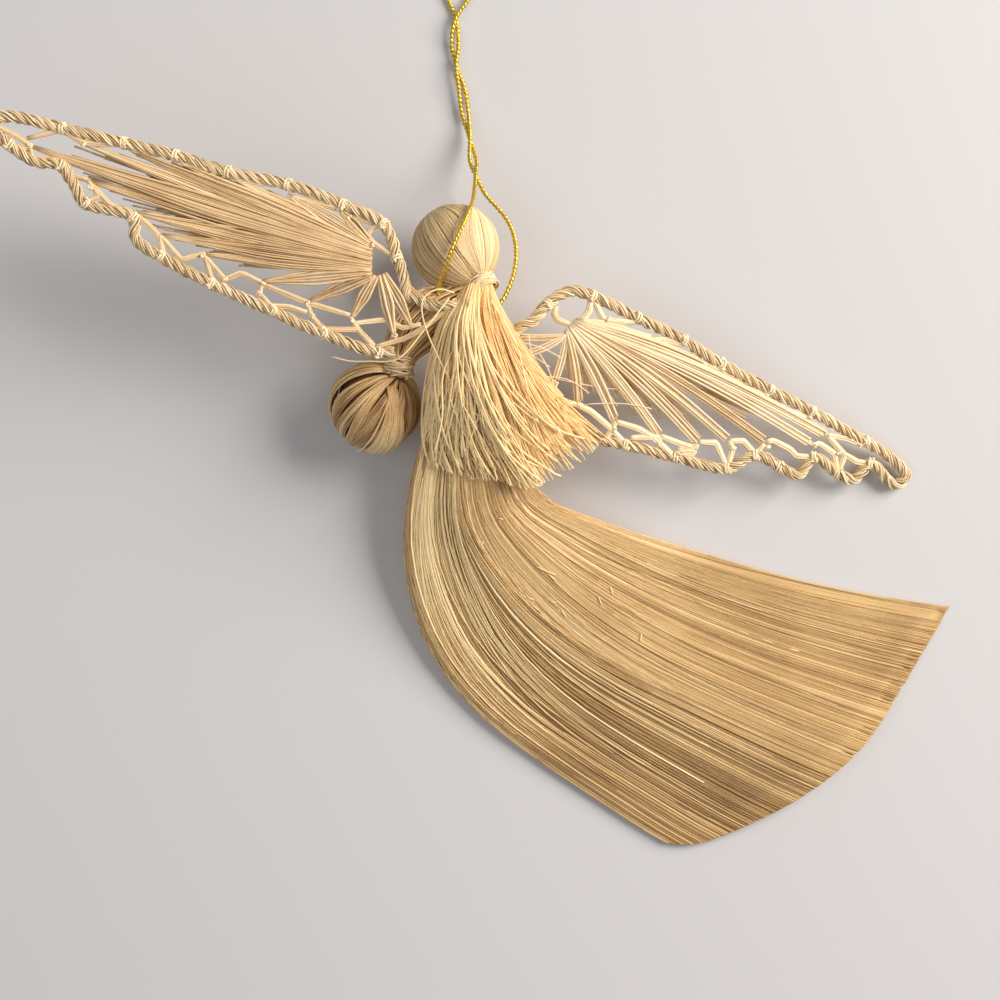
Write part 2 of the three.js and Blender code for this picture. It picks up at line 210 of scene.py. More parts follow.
cord_line = smooth_line(placed(CORD_ROUTE), 420)
PLY_RADIUS = 0.23
PLY_OFFSET = 0.17  # of each ply's middle from the thread's
CORD_TWISTS = 110
plies = [wound(cord_line, PLY_OFFSET * MM, CORD_TWISTS, phase) for phase in (0, 0.5)]
cord = fibres("gold_thread", plies, PLY_RADIUS * MM, [0.4, 0.6])
gold = bpy.data.materials.new("gold_thread")
gold.use_nodes = True
gold_shader = gold.node_tree.nodes["Principled BSDF"]
gold_shader.inputs["Base Color"].default_value = (0.80, 0.56, 0.08, 1)
gold_shader.inputs["Metallic"].default_value = 0.85
gold_shader.inputs["Roughness"].default_value = 0.32
cord.data.materials.append(gold)
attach(cord, "root")
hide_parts("hanging_cord")


# Straw colour.
# Every piece below is the same pale plant fibre; pieces differ in their colours and in the size of their
# colour patches.
def straw_colour():
    """Shade of a fibre from its own tone, with slow changes along it and over the piece."""
    group = bpy.data.node_groups.new("straw_colour", "ShaderNodeTree")
    for name in ("Shade", "Body", "Pale"):
        group.interface.new_socket(name, in_out="INPUT", socket_type="NodeSocketColor")
    group.interface.new_socket("Patch scale", in_out="INPUT", socket_type="NodeSocketFloat")
    group.interface.new_socket("Color", in_out="OUTPUT", socket_type="NodeSocketColor")
    group.interface.new_socket("Height", in_out="OUTPUT", socket_type="NodeSocketFloat")
    nodes, link = group.nodes, group.links.new
    given, out = nodes.new("NodeGroupInput"), nodes.new("NodeGroupOutput")
    tone, along, place = (nodes.new(kind) for kind in ("ShaderNodeAttribute",) * 2 + ("ShaderNodeTexCoord",))
    tone.attribute_name, along.attribute_name = "tone", "along"

    def sum_of(a, b, factor):
        node = nodes.new("ShaderNodeMath")
        node.operation = "MULTIPLY_ADD"
        link(b, node.inputs[0])
        node.inputs[1].default_value = factor
        link(a, node.inputs[2])
        return node.outputs[0]

    def noise(vector, scale, detail=2.0):
        node = nodes.new("ShaderNodeTexNoise")
        link(vector, node.inputs["Vector"])
        if isinstance(scale, float):
            node.inputs["Scale"].default_value = scale
        else:
            link(scale, node.inputs["Scale"])
        node.inputs["Detail"].default_value = detail
        return node.outputs["Fac"]

    on_fibre = nodes.new("ShaderNodeCombineXYZ")
    for source, socket, scale in ((tone, "X", 34.0), (along, "Y", 9.0)):
        scaled = nodes.new("ShaderNodeMath")
        scaled.operation = "MULTIPLY"
        scaled.inputs[1].default_value = scale
        link(source.outputs["Fac"], scaled.inputs[0])
        link(scaled.outputs[0], on_fibre.inputs[socket])
    streak = noise(on_fibre.outputs[0], 1.0)
    patch = noise(place.outputs["Object"], given.outputs["Patch scale"])
    grain = noise(place.outputs["Object"], 2600.0, 3.0)
    shade = sum_of(tone.outputs["Fac"], streak, 0.42)
    shade = sum_of(shade, patch, 0.5)
    shade = sum_of(shade, grain, 0.22)
    ramp = nodes.new("ShaderNodeMapRange")
    link(shade, ramp.inputs["Value"])
    ramp.inputs["From Min"].default_value = 0.57
    ramp.inputs["From Max"].default_value = 1.57
    low, high = nodes.new("ShaderNodeMapRange"), nodes.new("ShaderNodeMapRange")
    low.inputs["From Max"].default_value = 0.5
    high.inputs["From Min"].default_value = 0.5
    for half in (low, high):
        link(ramp.outputs[0], half.inputs["Value"])
    mixes = []
    for factor in (low, high):
        mix = nodes.new("ShaderNodeMix")
        mix.data_type = "RGBA"
        link(factor.outputs[0], mix.inputs["Factor"])
        mixes.append(mix)
    link(given.outputs["Shade"], mixes[0].inputs["A"])
    link(given.outputs["Body"], mixes[0].inputs["B"])
    link(mixes[0].outputs["Result"], mixes[1].inputs["A"])
    link(given.outputs["Pale"], mixes[1].inputs["B"])
    link(mixes[1].outputs["Result"], out.inputs["Color"])
    link(grain, out.inputs["Height"])
    return group


STRAW_COLOUR = straw_colour()


def straw(name, shade, body, pale, patch=90.0):
    """A straw finish between three colours."""
    finish = bpy.data.materials.new(name)
    finish.use_nodes = True
    tree = finish.node_tree
    shader = tree.nodes["Principled BSDF"]
    colour = tree.nodes.new("ShaderNodeGroup")
    colour.node_tree = STRAW_COLOUR
    for socket, value in (("Shade", shade), ("Body", body), ("Pale", pale)):
        colour.inputs[socket].default_value = (*value, 1)
    colour.inputs["Patch scale"].default_value = patch
    bump = tree.nodes.new("ShaderNodeBump")
    bump.inputs["Strength"].default_value = 0.35
    bump.inputs["Distance"].default_value = 0.06 * MM
    tree.links.new(colour.outputs["Color"], shader.inputs["Base Color"])
    tree.links.new(colour.outputs["Height"], bump.inputs["Height"])
    tree.links.new(bump.outputs["Normal"], shader.inputs["Normal"])
    shader.inputs["Roughness"].default_value = 0.5
    return finish


def dress(piece, finish, slot, *nodes):
    """Gives a piece its finish, and has it stand for the solids of the frame."""
    piece.data.materials.append(finish)
    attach(piece, "root")
    if nodes:
        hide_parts(*nodes)


def eased(value, low, high):
    t = np.clip((np.asarray(value, float) - low) / (high - low), 0, 1)
    return t * t * (3 - 2 * t)


def wander(rng, many, long):
    """Slow side-to-side drift for each fibre, from -1 to 1."""
    t = np.linspace(0, 1, long)
    drift = np.zeros((many, long))
    for wave in (1, 2, 3):
        height = rng.normal(0, 1 / wave, (many, 1))
        drift += height * np.sin(math.pi * wave * t + rng.uniform(0, 6.28, (many, 1)))
    return drift / 2


# Skirt.
# One long bundle of fibres from the neck to the hem, spread into a fan, brushed with glue so that it
# holds as a thin sheet, and cut in a curve. Along its left edge the fibres are loose.
SKIRT_EDGES = {
    "left": [[-5.4, 30.4], [-8.2, 22], [-10.8, 12], [-13.6, 2], [-14.6, -7.5], [-12.8, -18], [-9, -26],
             [-3, -33], [6, -40], [15.5, -46.4], [22, -50.6], [25.5, -52.6]],
    "right": [[-1, 30.4], [0.8, 24], [2, 16], [3, 8], [6, 1], [15, -3], [30.3, -7.9], [45.8, -12.2],
              [58.1, -14.7], [69, -16.4]],
    "top": [[-5.4, 30.4], [-1, 30.4]],
    "ends": [[25.5, -52.6], [30, -52.7], [37, -50.2], [46, -45.2], [55.2, -37.6], [61.3, -29.1],
             [69, -16.4]],
}
SKIRT_FOLDS = 3
SKIRT_MIDDLE = (10.5, 0.45)  # height of the bundle's middle at the neck, and where it lies flat
SKIRT_HALF = (3.9, 0.6)  # half its thickness at the neck and at the hem


def fan_of(left, right, top, ends):
    """Plan places between four edges: across from left to right, along from the neck to the ends."""
    steps = np.linspace(0, 1, 300)
    edges = [smooth_line(edge, 300) for edge in (left, right, top, ends)]

    def fan(across, along):
        across, along = np.broadcast_arrays(np.asarray(across, float), np.asarray(along, float))
        l, r = (np.stack([np.interp(along, steps, edge[:, k]) for k in (0, 1)], -1) for edge in edges[:2])
        t, e = (np.stack([np.interp(across, steps, edge[:, k]) for k in (0, 1)], -1) for edge in edges[2:])
        a, b = across[..., None], along[..., None]
        corners = (edges[0][0] * (1 - a) + edges[1][0] * a) * (1 - b)
        corners = corners + (edges[0][-1] * (1 - a) + edges[1][-1] * a) * b
        return l * (1 - a) + r * a + t * (1 - b) + e * b - corners

    return fan


skirt_fan = fan_of(**SKIRT_EDGES)


def skirt_middle(across, along):
    arch = (1.2 + 1.4 * along) * np.sin(math.pi * np.clip(across, 0, 1)) ** 4
    return SKIRT_MIDDLE[0] + (SKIRT_MIDDLE[1] - SKIRT_MIDDLE[0]) * eased(along, 0, 0.62) + arch


def skirt_half(across, along):
    fold = 0.06 * np.cos(2 * math.pi * SKIRT_FOLDS * across) * eased(along, 0.1, 0.4)
    body = SKIRT_HALF[0] + (SKIRT_HALF[1] - SKIRT_HALF[0]) * eased(along, 0.12, 0.85)
    return body * (1 + fold) * (0.55 + 0.45 * eased(along, 0, 0.25))


def lens(across):
    """How full a bundle's section is across it."""
    return np.clip(1 - (2 * across - 1) ** 2, 0, 1) ** 0.3


def sheet_of(name, fan, middle, half, lanes, rows, relief, tones, crop=(0.0, 1.0)):
    """A closed bundle skin: lanes of fibre across it, each a little higher or lower than the next."""
    shape = bmesh.new()
    bmesh.ops.create_grid(shape, x_segments=2 * lanes, y_segments=rows, size=0.5)
    grid = np.array([v.co for v in shape.verts])
    turn, along = grid[:, 0] + 0.5, grid[:, 1] + 0.5
    under = turn > 0.5
    across = np.where(under, 2 - 2 * turn, 2 * turn)
    lane = np.rint(across * lanes).astype(int)
    row = np.rint(along * rows).astype(int)
    closing = np.where((row == 0) | (row == rows), 0.0, 1.0)
    reach = crop[0] + (crop[1] - crop[0]) * np.clip(along * rows, 0.02, rows - 0.05) / rows
    reach = np.where(row == rows, crop[1], np.where(row == 0, crop[0], reach))
    thick = half(across, reach) * lens(across) * closing
    lift = relief(lane, reach) * closing * lens(across)
    high = middle(across, reach) + np.where(under, -thick, thick + lift)
    plan = fan(across, reach)
    places = placed(np.column_stack([plan, np.maximum(high, 0.02)]))
    for vert, place in zip(shape.verts, places):
        vert.co = place
    tone = tones(lane, reach)
    layers = [shape.verts.layers.float.new(key) for key in ("tone", "along")]
    for vert, values in zip(shape.verts, zip(tone, reach)):
        for layer, value in zip(layers, values):
            vert[layer] = value
    bmesh.ops.remove_doubles(shape, verts=shape.verts, dist=0.004 * MM)
    bmesh.ops.recalc_face_normals(shape, faces=shape.faces)
    return mesh_of(shape, name)


def locks(rng, lanes, narrow, wide):
    """Locks of uneven width that fibres cling to: how far up its lock each lane is, and its lock's tone."""
    crown, shade = np.zeros(lanes + 1), np.zeros(lanes + 1)
    first = 0
    while first <= lanes:
        width = int(rng.integers(narrow, wide))
        part = np.arange(first, min(first + width, lanes + 1))
        crown[part] = np.sin(math.pi * (part - first + 0.5) / width)
        shade[part] = rng.normal(0, 1)
        first += width
    return crown, shade


SKIRT_LANES = 320
skirt_draw = np.random.default_rng(11)
fine_crown, fine_shade = locks(skirt_draw, SKIRT_LANES, 2, 6)
_, hem_shade = locks(skirt_draw, SKIRT_LANES, 1, 5)
broad_crown, broad_shade = locks(skirt_draw, SKIRT_LANES, 6, 20)
lane_noise = skirt_draw.normal(0, 1, SKIRT_LANES + 1)


def skirt_relief(lane, along):
    loose = 1 - eased(along, 0.3, 0.8)
    ridges = 0.04 * fine_crown[lane] + 0.2 * broad_crown[lane] * loose
    return ridges * (0.35 + 0.65 * loose) - 0.04 + 0.007 * lane_noise[lane]


def skirt_paleness(across, along):
    """Palest in the loose fibres by the left edge and next to them, darkest where these reach the hem. The
    loose fibres are paler fibre and also carry a painted highlight; the band next to them is painted light,
    lightened where the skirt's arch turns away from the window.
    """
    # loose: paler loose fibres, with a painted highlight on them along the left edge
    loose = np.exp(-(((across - 0.13) / 0.17) ** 2)) * (1 - eased(along, 0.35, 0.8))
    # beside: painted light, a band lightened where the arch of the skirt turns away from the window
    beside = np.exp(-(((across - 0.42) / 0.16) ** 2)) * eased(along, 0.15, 0.4) * (1 - eased(along, 0.8, 1.0))
    corner = (1 - eased(across, 0.25, 0.6)) * eased(along, 0.6, 0.95)
    return 0.36 + 0.62 * loose + 0.24 * beside - 0.16 * corner


def skirt_tones(lane, along):
    across = lane / SKIRT_LANES
    turned = eased(along, 0.3, 0.75)
    # painted shade between the broad locks, in the low lanes where they part
    painted_gap_shade = -0.3 * (broad_crown[lane] < 0.3) * (1 - eased(along, 0.35, 0.75))
    fine = (1 - turned) * fine_shade[lane] + turned * hem_shade[lane]
    return skirt_paleness(across, along) + 0.09 * fine + 0.07 * broad_shade[lane] + painted_gap_shade


def on_skirt(across, along, above):
    """Places on the skirt's back, `above` millimetres over its skin."""
    thick = skirt_half(across, along) * lens(np.clip(across, 0.004, 0.996))
    high = skirt_middle(across, along) + thick + above
    return placed(np.concatenate([skirt_fan(across, along), high[..., None]], -1))


skirt_skin = sheet_of("skirt_sheet", skirt_fan, skirt_middle, skirt_half, SKIRT_LANES, 44,
                      skirt_relief, skirt_tones)
SKIRT_POINTS = 20


def skirt_strands(name, many, seed, spread, above, thick, tone, sway, crossing, each_lock):
    """Fibres along the skirt in locks, each lock drifting `crossing` over its neighbours."""
    rng = np.random.default_rng(seed)
    run = np.linspace(0, 1, SKIRT_POINTS)
    many_locks = many // each_lock
    lock = rng.integers(0, many_locks, many)
    start = rng.uniform(*spread, many_locks)[lock] + rng.normal(0, 0.012, many)
    aside = (rng.normal(0, crossing, many_locks)[lock] + rng.normal(0, crossing * 0.3, many))[:, None]
    first = rng.uniform(0.12, 0.3, (many, 1))
    last = np.where(rng.random((many, 1)) < 0.8, 1.0, rng.uniform(0.45, 0.98, (many, 1)))
    along = first + (last - first) * run
    drift = wander(rng, many, SKIRT_POINTS) * sway * rng.choice([0.3, 1.0, 3.0], (many, 1), p=[0.6, 0.3, 0.1])
    across = start[:, None] + drift * np.sin(math.pi * along) + aside * eased(along, 0.1, 0.8)
    across = np.clip(across, 0.003, 0.997)
    rise = (rng.uniform(*above, many_locks)[lock] + rng.uniform(-0.04, 0.04, many))[:, None]
    rise = rise * (1 - 0.75 * eased(along, 0.5, 1.0)) + 10 * sway * np.abs(wander(rng, many, SKIRT_POINTS))
    tones = (rng.normal(0, tone[0], many_locks)[lock] + rng.normal(0, tone[1], many))[:, None]
    odd = rng.random((many, 1))
    tones = tones + np.where(odd < 0.04, 0.4, np.where(odd > 0.95, -0.4, 0.0))
    tones = np.clip(skirt_paleness(across, along) + tones, 0, 1)
    return fibres(name, on_skirt(across, along, rise), rng.uniform(*thick, many) * MM, tones)


skirt_long = skirt_strands("skirt_fibres", 900, 21, (0.01, 0.99), (-0.03, 0.03), (0.05, 0.1),
                           (0.06, 0.1), 0.006, 0.012, 9)
skirt_loose = skirt_strands("skirt_loose_fibres", 460, 22, (-0.03, 0.40), (0.05, 0.7), (0.06, 0.14),
                            (0.16, 0.16), 0.010, 0.075, 14)
skirt_stray = skirt_strands("skirt_stray_fibres", 60, 23, (0.02, 0.9), (0.0, 0.2), (0.035, 0.06),
                            (0.3, 0.2), 0.016, 0.03, 1)
bits_draw = np.random.default_rng(24)
BITS = 16  # short clippings that lie on it
bit_places = bits_draw.uniform((0.2, 0.3), (0.75, 0.7), (BITS, 2))[:, None]
bit_ways = bits_draw.normal(0, 1, (BITS, 1, 2)) * (0.008, 0.005)
bit_lines = on_skirt(*np.moveaxis(bit_places + np.linspace(-1, 1, 4)[:, None] * bit_ways, -1, 0), 0.32)
skirt_bits = fibres("skirt_bits", bit_lines, 0.1 * MM, np.ones(BITS))
skirt_finish = straw("skirt_fibre", (0.29, 0.15, 0.05), (0.70, 0.45, 0.185), (1.0, 0.78, 0.42), patch=50.0)
for piece in (skirt_skin, skirt_long, skirt_loose, skirt_stray, skirt_bits):
    dress(piece, skirt_finish, "skirt_fibre", "skirt")


# Cape.
# The cut ends of the fibres that cover the head. They hang from the neck over the back, crossing
# each other, and are trimmed unevenly.
CAPE_EDGES = {
    "left": [[-6.2, 30.2], [-8.9, 26], [-10.9, 17.5], [-11.4, 9], [-10.4, 5]],
    "right": [[-1.2, 30.6], [0.7, 27.4], [4.6, 21.3], [9.8, 14.6], [15.6, 9.4]],
    "top": [[-6.2, 30.2], [-1.2, 30.6]],
    "ends": [[-10.4, 5], [-5, 3.4], [0, 2.9], [4, 1.9], [8.8, 3.6], [13, 6.4], [15.6, 9.4]],
}
CAPE_HEIGHT = 13.4  # of its middle
CAPE_DROP = 3.0  # of its middle towards its ends
CAPE_CROWN = 1.5  # from its middle down to its sides
CAPE_HALF = (3.6, 2.2)  # half its thickness over the back, and at its ends
cape_fan = fan_of(**CAPE_EDGES)


def cape_middle(across, along):
    return CAPE_HEIGHT - CAPE_DROP * eased(along, 0.45, 1) - CAPE_CROWN * (2 * across - 1) ** 2


def cape_half(across, along):
    body = CAPE_HALF[0] + (CAPE_HALF[1] - CAPE_HALF[0]) * eased(along, 0.5, 1)
    return body * (0.35 + 0.65 * eased(along, 0, 0.25))


cape_draw = np.random.default_rng(31)
CAPE_LANES = 120
cape_crown, cape_shade = locks(cape_draw, CAPE_LANES, 2, 7)
cape_core = sheet_of(
    "cape_core", cape_fan, cape_middle, lambda u, v: cape_half(u, v) * 0.75, CAPE_LANES, 20,
    lambda lane, along: 0.5 * cape_crown[lane], lambda lane, along: 0.6 + 0.1 * cape_shade[lane],
    crop=(0.03, 0.88),
)
CAPE_POINTS = 22
GATHER = np.array([-3.0, 32.2, 11.2])  # inside the neck tie


def cape_strands(name, many, seed, start, stray, layer, thick, tone, length, each_lock, kink):
    """Fibres that hang from the neck in locks, each lock ending `stray` to a side of where it starts."""
    rng = np.random.default_rng(seed)
    run = np.linspace(0, 1, CAPE_POINTS)
    many_locks = many // each_lock
    lock = rng.integers(0, many_locks, many)

    def drawn(low, high, own):
        return (rng.uniform(low, high, many_locks)[lock] + rng.normal(0, own, many))[:, None]

    first = drawn(*start, 0.03)
    last = first + rng.normal(*stray, many_locks)[lock][:, None] + rng.normal(0, 0.03, (many, 1))
    last = np.clip(last, 0, 1)
    reach = drawn(*length, 0.03)
    along = 0.004 + (reach - 0.004) * run
    bend = rng.normal(0, kink, (many, 1)) * np.maximum(run - rng.uniform(0.25, 0.8, (many, 1)), 0)
    sway = 0.1 * kink * wander(rng, many, CAPE_POINTS) * along
    across = first + (last - first) * along + bend + sway
    flat = np.clip(across, 0, 1)
    full = drawn(*layer, 0.06) + 0.08 * wander(rng, many, CAPE_POINTS)
    high = cape_middle(flat, along) + full * cape_half(flat, along) * lens(np.clip(flat, 0.02, 0.98))
    high += rng.normal(0, 0.5, (many, 1)) * eased(along, 0.75, 1.1)
    lines = np.concatenate([cape_fan(across, along), high[..., None]], -1)
    turn = math.pi * (0.92 - 0.84 * np.clip(first, 0, 1))
    tied = GATHER + rng.uniform(1.2, 2.0, (many, 1, 1)) * np.stack([np.cos(turn), 0 * turn, np.sin(turn)], -1)
    pull = (1 - eased(along, 0.0, 0.17))[..., None]
    lines = placed(lines * (1 - pull) + tied * pull)
    tones = rng.normal(0, tone[1], many_locks)[lock] + rng.normal(tone[0], tone[1], many)
    # the last term is painted shade: fibres are toned darker where they leave the neck tie under the head
    tones = tones[:, None] + 0.25 * eased(run, 0.9, 1.0) - 0.3 * (1 - eased(along, 0.05, 0.2))
    # painted light: the lower left of the cape, which faces away from the window, is toned paler
    tones += 0.35 * eased(along, 0.4, 0.8) * (1 - eased(flat, 0.3, 0.7))
    return fibres(name, lines, rng.uniform(*thick, many) * MM, np.clip(tones, 0, 1))


cape_under = cape_strands("cape_under_fibres", 360, 32, (0.0, 1.0), (0.0, 0.04), (0.4, 0.9), (0.07, 0.12),
                          (0.66, 0.1), (0.85, 1.03), 8, 0.06)
cape_over = cape_strands("cape_over_fibres", 380, 33, (0.0, 1.0), (0.0, 0.09), (0.8, 1.15), (0.06, 0.12),
                         (0.74, 0.11), (0.74, 1.06), 7, 0.12)
cape_left = cape_strands("cape_crossed_fibres", 132, 34, (0.0, 0.52), (0.0, 0.24), (1.05, 1.5), (0.11, 0.18),
                         (0.97, 0.07), (0.7, 1.04), 2, 0.24)
# single fibres that strayed over the cape and the arm
STRAYS = [
    [[-6.7, 30.3, 14.5], [-8.9, 30.8, 15.4], [-11.1, 29.5, 16], [-11.4, 27.9, 16.2], [-10.8, 25, 16.6],
     [-9.1, 21, 17], [-5.8, 14.6, 17.4], [-3.4, 10.2, 17]],
    [[-7.4, 29.6, 14.8], [-11.1, 24.6, 16.6], [-14.6, 20.6, 17], [-16.4, 20.1, 16.6], [-18.6, 20.2, 15.8],
     [-21.9, 20.3, 14.8], [-24.7, 21, 14.4]],
    [[-4.2, 29.8, 15.6], [-5.4, 24.6, 17.2], [-8.2, 18.4, 17.6], [-8.4, 12, 17], [-9.6, 6.8, 15]],
    [[-1.4, 29.2, 15.8], [2.4, 22.4, 17], [4.4, 15.4, 17], [9.2, 9.2, 15.8]],
]
cape_strays = fibres(
    "cape_stray_fibres", np.array([smooth_line(placed(path), 30) for path in STRAYS]), 0.12 * MM,
    np.full(len(STRAYS), 0.95))
cape_finish = straw("cape_fibre", (0.60, 0.30, 0.10), (0.97, 0.63, 0.26), (1.0, 0.78, 0.42), patch=120.0)
for piece in (cape_core, cape_under, cape_over, cape_left, cape_strays):
    dress(piece, cape_finish, "cape_fibre", "cape")


# Head.
# A ball covered with fibres that are drawn from the crown to the neck. A second lock is laid over its
# right side, toned paler: a painted highlight where the window lights that side. It has no face.
HEAD_CENTRE = np.array([-6.6, 37.5, 9.5])
HEAD_RADIUS = 6.5
NECK = np.array([-3.0, 32.0, 11.0])


def unit(vector):
    vector = np.asarray(vector, float)
    return vector / np.linalg.norm(vector, axis=-1, keepdims=True)


def square_to(way):
    """Two directions square to a direction and to each other."""
    side = unit(np.cross(way, (0.0, 0.0, 1.0)))
    return side, np.cross(side, way)


def ball(name, centre, radius, tone):
    """A plain fibre-coloured core under a skin of fibres."""
    shape = bmesh.new()
    bmesh.ops.create_uvsphere(shape, u_segments=48, v_segments=24, radius=radius * MM)
    bmesh.ops.translate(shape, verts=shape.verts, vec=placed(centre))
    layers = [shape.verts.layers.float.new(key) for key in ("tone", "along")]
    for vert in shape.verts:
        vert[layers[0]], vert[layers[1]] = tone, 0.5
    return mesh_of(shape, name)


def over_ball(centre, radius, top, foot, bulge, points, lift):
    """Lines over a ball from top directions to foot directions, each pushed to one side by its bulge."""
    t = np.linspace(0, 1, points)[:, None]
    lines = []
    for start, stop, push, high in zip(*np.broadcast_arrays(unit(top), unit(foot)), bulge, lift):
        reach = math.acos(np.clip(start.dot(stop), -1, 1))
        arc = (start * np.sin((1 - t) * reach) + stop * np.sin(t * reach)) / math.sin(reach)
        arc = unit(arc + unit(np.cross(start, stop)) * push * np.sin(math.pi * t))
        lines.append(centre + arc * (radius + high))
    return placed(np.array(lines))


head_draw = np.random.default_rng(41)
head_core = ball("head_ball", HEAD_CENTRE, HEAD_RADIUS - 0.1, 0.15)
to_neck = unit(NECK - HEAD_CENTRE)
HEAD_POINTS = 16


def meridian_ways(foot, turn, fall):
    """Directions from a ball's centre, by the turn round `foot` and the fall from its opposite pole."""
    side, up = square_to(foot)
    way = side * np.cos(turn)[..., None] + up * np.sin(turn)[..., None]
    return way * np.sin(fall)[..., None] - foot * np.cos(fall)[..., None]


HEAD_FIBRES = 460
head_turn = head_draw.uniform(0, 2 * math.pi, (HEAD_FIBRES, 1))
head_turn = head_turn + wander(head_draw, HEAD_FIBRES, HEAD_POINTS) * 0.03
head_ways = meridian_ways(to_neck, head_turn, np.linspace(0.06, math.pi - 0.3, HEAD_POINTS)[None, :])
head_reach = HEAD_RADIUS - 0.1 + head_draw.uniform(0, 0.08, (HEAD_FIBRES, 1, 1))
head_all = fibres(
    "head_fibres", placed(HEAD_CENTRE + head_ways * head_reach),
    head_draw.uniform(0.07, 0.13, HEAD_FIBRES) * MM, np.clip(head_draw.normal(0.44, 0.2, HEAD_FIBRES), 0, 1),
)
LOCK_FIBRES = 260
lock_lines = over_ball(
    HEAD_CENTRE, HEAD_RADIUS, np.tile((0.34, 0.92, 0.2), (LOCK_FIBRES, 1)), to_neck + (0.12, 0, 0.18),
    -head_draw.uniform(-0.04, 1.7, LOCK_FIBRES), HEAD_POINTS, head_draw.uniform(0.02, 0.12, LOCK_FIBRES),
)
# these fibres are toned paler than the rest of the head, a painted highlight on its lit right side
head_lock = fibres("head_lock_fibres", lock_lines, head_draw.uniform(0.08, 0.14, LOCK_FIBRES) * MM,
                   np.clip(head_draw.normal(0.64, 0.2, LOCK_FIBRES), 0, 1))
head_finish = straw("head_fibre", (0.36, 0.23, 0.10), (0.72, 0.51, 0.26), (0.96, 0.74, 0.42))
for piece in (head_core, head_all, head_lock):
    dress(piece, head_finish, "head_fibre", "head")

# Neck tie.
# Fibre wound a few turns round the gathered neck, pulled tight. It holds the head's fibres, the cape
# and the skirt together.
NECK_RADIUS = 2.3
WRAP_TURNS = 3
tie_finish = straw("tie_fibre", (0.48, 0.30, 0.13), (0.82, 0.60, 0.33), (0.97, 0.82, 0.54))


def wrap(name, centre, axis, radius, width, thick, seed, strands):
    """Fibre wound round an axis: a few fibres side by side, turn after turn."""
    rng = np.random.default_rng(seed)
    axis = unit(axis)
    side = unit(np.cross(axis, (0.31, 0.2, 0.93)))
    up = np.cross(axis, side)
    t = np.linspace(0, 1, WRAP_TURNS * 18 + 1)
    lines = []
    for k in range(strands):
        angle = 2 * math.pi * (WRAP_TURNS * t + rng.uniform(0, 1))
        shift = (np.interp(t, [0, 0.5, 1], [-1, 1, -0.6]) * 0.5 + rng.normal(0, 0.12)) * width
        out = radius + rng.normal(0, 0.1) + 0.12 * np.sin(angle * 0.37 + k)
        shift += 0.16 * width * np.sin(angle + rng.uniform(0, 6.28))
        lines.append(centre + axis * shift[:, None]
                     + (side * np.cos(angle)[:, None] + up * np.sin(angle)[:, None]) * out[:, None])
    return fibres(name, placed(np.array(lines)), thick * MM, rng.uniform(0.4, 0.8, strands))


neck_wrap = wrap("neck_wrap", NECK, to_neck, NECK_RADIUS + 0.1, 2.1, 0.12, 51, 13)
dress(neck_wrap, tie_finish, "tie_fibre", "neck_tie")

# Sleeves, arm and cuff.
# Each sleeve is a bundle of fibres puffed out like a lantern and drawn together at the cuff. The right
# one is under the body. The left arm comes down from the shoulder, and twisted fibre ties its cuff.
SLEEVE_CENTRE = np.array([-18.8, 14.2, 6.8])
SLEEVE_RADIUS = 6.8
CUFF = np.array([-14.8, 18.9, 10.0])  # where its fibres come together
RIGHT_SLEEVE_CENTRE = np.array([3.5, 15.5, 3.6])
RIGHT_SLEEVE_RADIUS = 5.0
TO_RIGHT_CUFF = (-0.56, 0.82, 0.05)
SLEEVE_POINTS = 16
sleeve_draw = np.random.default_rng(61)
sleeve_finish = straw("sleeve_fibre", (0.30, 0.15, 0.05), (0.66, 0.42, 0.18), (0.94, 0.71, 0.39), patch=150.0)


def puffed(name, centre, radius, foot, many, lock_count):
    """Fibres drawn over a puff in locks, from the far side to the cuff, with painted shade on the fibres at
    each lock's edges.
    """
    rng = sleeve_draw
    lock = rng.integers(0, lock_count, many)
    place = rng.uniform(-0.5, 0.5, many)
    middle = 2 * math.pi * (np.arange(lock_count) + rng.uniform(-0.35, 0.35, lock_count)) / lock_count
    turn = (middle[lock] + place * 5.6 / lock_count)[:, None] + wander(rng, many, SLEEVE_POINTS) * 0.06
    turn = turn + (rng.normal(0, 0.14, lock_count)[lock])[:, None] * np.linspace(-1, 1, SLEEVE_POINTS)
    fall = np.linspace(0.12, math.pi - 0.05, SLEEVE_POINTS)[None, :]
    way = meridian_ways(unit(foot), turn, fall)
    layer = rng.uniform(0.90, 0.97, lock_count)[lock]
    crown = (layer + 0.05 * np.cos(math.pi * place) + rng.uniform(-0.01, 0.01, many))[:, None]
    lines = centre + way * (radius * crown * (1 - 0.06 * eased(fall, 2.6, 3.1)))[..., None]
    lines[..., 2] = np.maximum(lines[..., 2], 0.2)
    shade = 0.52 + 0.2 * rng.normal(0, 1, lock_count)[lock] + rng.normal(0, 0.15, many)
    # painted shade in the hollows between locks: each lock's edge fibres are toned darker
    shade -= 0.3 * (np.abs(place) > 0.4)
    return fibres(name, placed(lines), rng.uniform(0.09, 0.17, many) * MM, np.clip(shade, 0, 1))


left_puff = puffed("left_sleeve_fibres", SLEEVE_CENTRE, SLEEVE_RADIUS, CUFF - SLEEVE_CENTRE, 620, 24)
